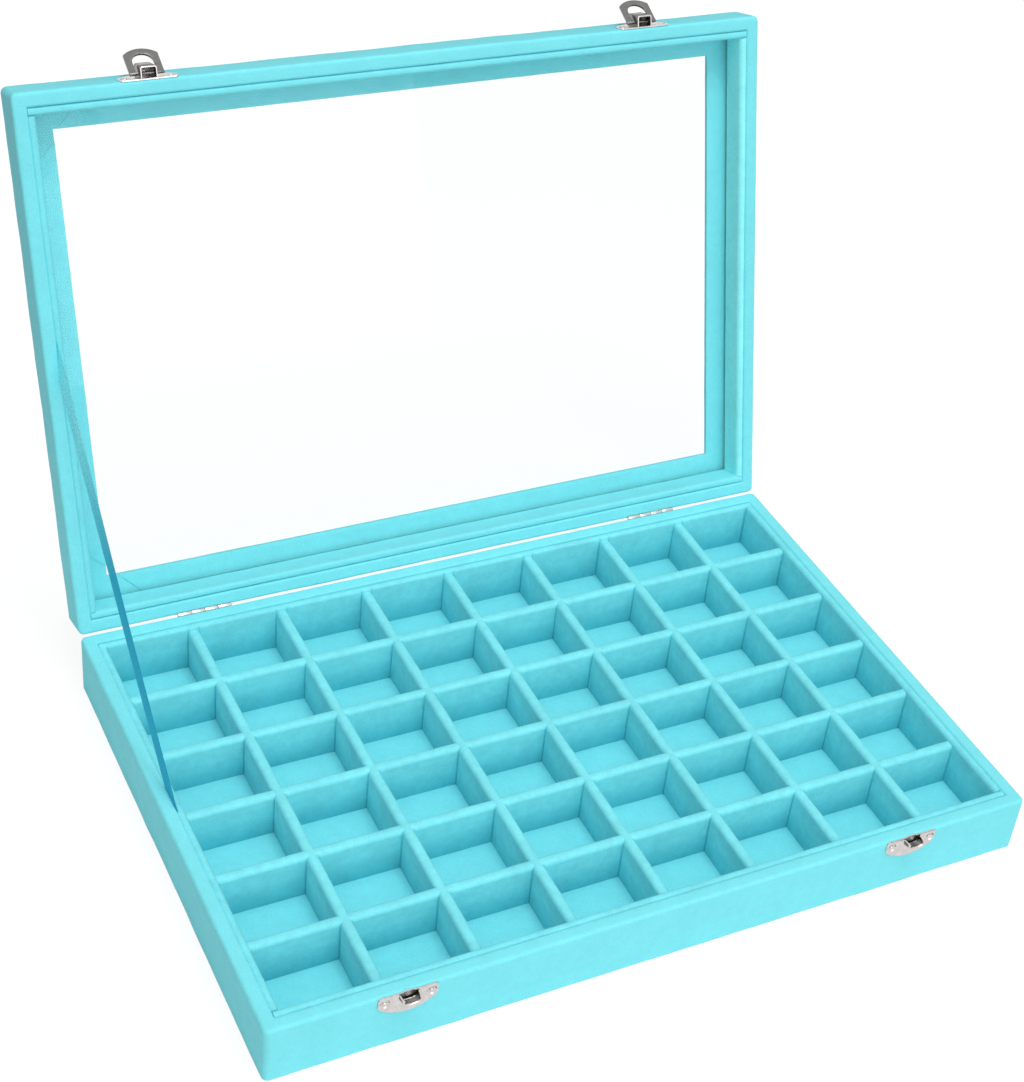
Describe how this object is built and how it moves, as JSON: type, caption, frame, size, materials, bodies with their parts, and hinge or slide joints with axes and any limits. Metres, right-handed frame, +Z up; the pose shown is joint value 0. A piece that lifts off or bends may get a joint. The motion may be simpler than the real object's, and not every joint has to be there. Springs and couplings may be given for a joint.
{
  "type": "jewelry organizer box",
  "caption": "Shallow velvet-covered jewelry box with a grid of open cells and a hinged lid with a clear window, hasp catches and a ribbon stay.",
  "frame": {"origin": "middle of the underside of the base", "axes": "+X along the front edge to the right, +Y from the front to the hinged back, +Z up"},
  "size_m": [0.35, 0.3289, 0.2657],
  "materials": {
    "board": "matte",
    "teal_velvet": "velvet",
    "nickel": "nickel plated",
    "clear_pane": "polished",
    "teal_satin": "satin",
    "felt": "felt"
  },
  "bodies": {
    "base": {"base_felt": "felt", "bottom_board": "board", "base_front_board": "board", "base_back_board": "board", "base_left_board": "board", "base_right_board": "board", "base_velvet": "teal_velvet", "floor_pad": "teal_velvet", "base_front_liner": "teal_velvet", "base_back_liner": "teal_velvet", "base_left_liner": "teal_velvet", "base_right_liner": "teal_velvet", "long_divider_1": "teal_velvet", "long_divider_2": "teal_velvet", "long_divider_3": "teal_velvet", "long_divider_4": "teal_velvet", "long_divider_5": "teal_velvet", "cross_divider_1": "teal_velvet", "cross_divider_2": "teal_velvet", "cross_divider_3": "teal_velvet", "cross_divider_4": "teal_velvet", "cross_divider_5": "teal_velvet", "cross_divider_6": "teal_velvet", "cross_divider_7": "teal_velvet", "left_hinge_base_leaf": "nickel", "right_hinge_base_leaf": "nickel", "left_hinge_pin": "nickel", "right_hinge_pin": "nickel", "left_catch_plate": "nickel", "right_catch_plate": "nickel", "catch_nails": "nickel", "hinge_base_nails": "nickel", "ribbon_stay": "teal_satin"},
    "lid": {"lid_front_board": "board", "lid_back_board": "board", "lid_left_board": "board", "lid_right_board": "board", "window_board": "board", "lid_velvet": "teal_velvet", "window_flaps": "teal_velvet", "glass_pane": "clear_pane", "lid_front_liner": "teal_velvet", "lid_back_liner": "teal_velvet", "lid_left_liner": "teal_velvet", "lid_right_liner": "teal_velvet", "left_hinge_lid_leaf": "nickel", "right_hinge_lid_leaf": "nickel", "left_hasp_plate": "nickel", "right_hasp_plate": "nickel", "hasp_nails": "nickel", "hinge_lid_nails": "nickel"},
    "left_loop": {"left_hasp_loop": "nickel"},
    "right_loop": {"right_hasp_loop": "nickel"}
  },
  "joints": [
    {"name": "lid_hinge", "type": "hinge", "parent": "base", "child": "lid", "pos_m": [0, 0.12, 0.02865], "axis": [-1, 0, 0], "range_deg": [-106, 0], "deforming": ["ribbon_stay"]},
    {"name": "left_hasp_swing", "type": "hinge", "parent": "lid", "child": "left_loop", "pos_m": [-0.1175, 0.19101, 0.26015], "axis": [-1, 0, 0], "range_deg": [-140, 35]},
    {"name": "right_hasp_swing", "type": "hinge", "parent": "lid", "child": "right_loop", "pos_m": [0.1145, 0.19101, 0.26015], "axis": [-1, 0, 0], "range_deg": [-140, 35]}
  ]
}
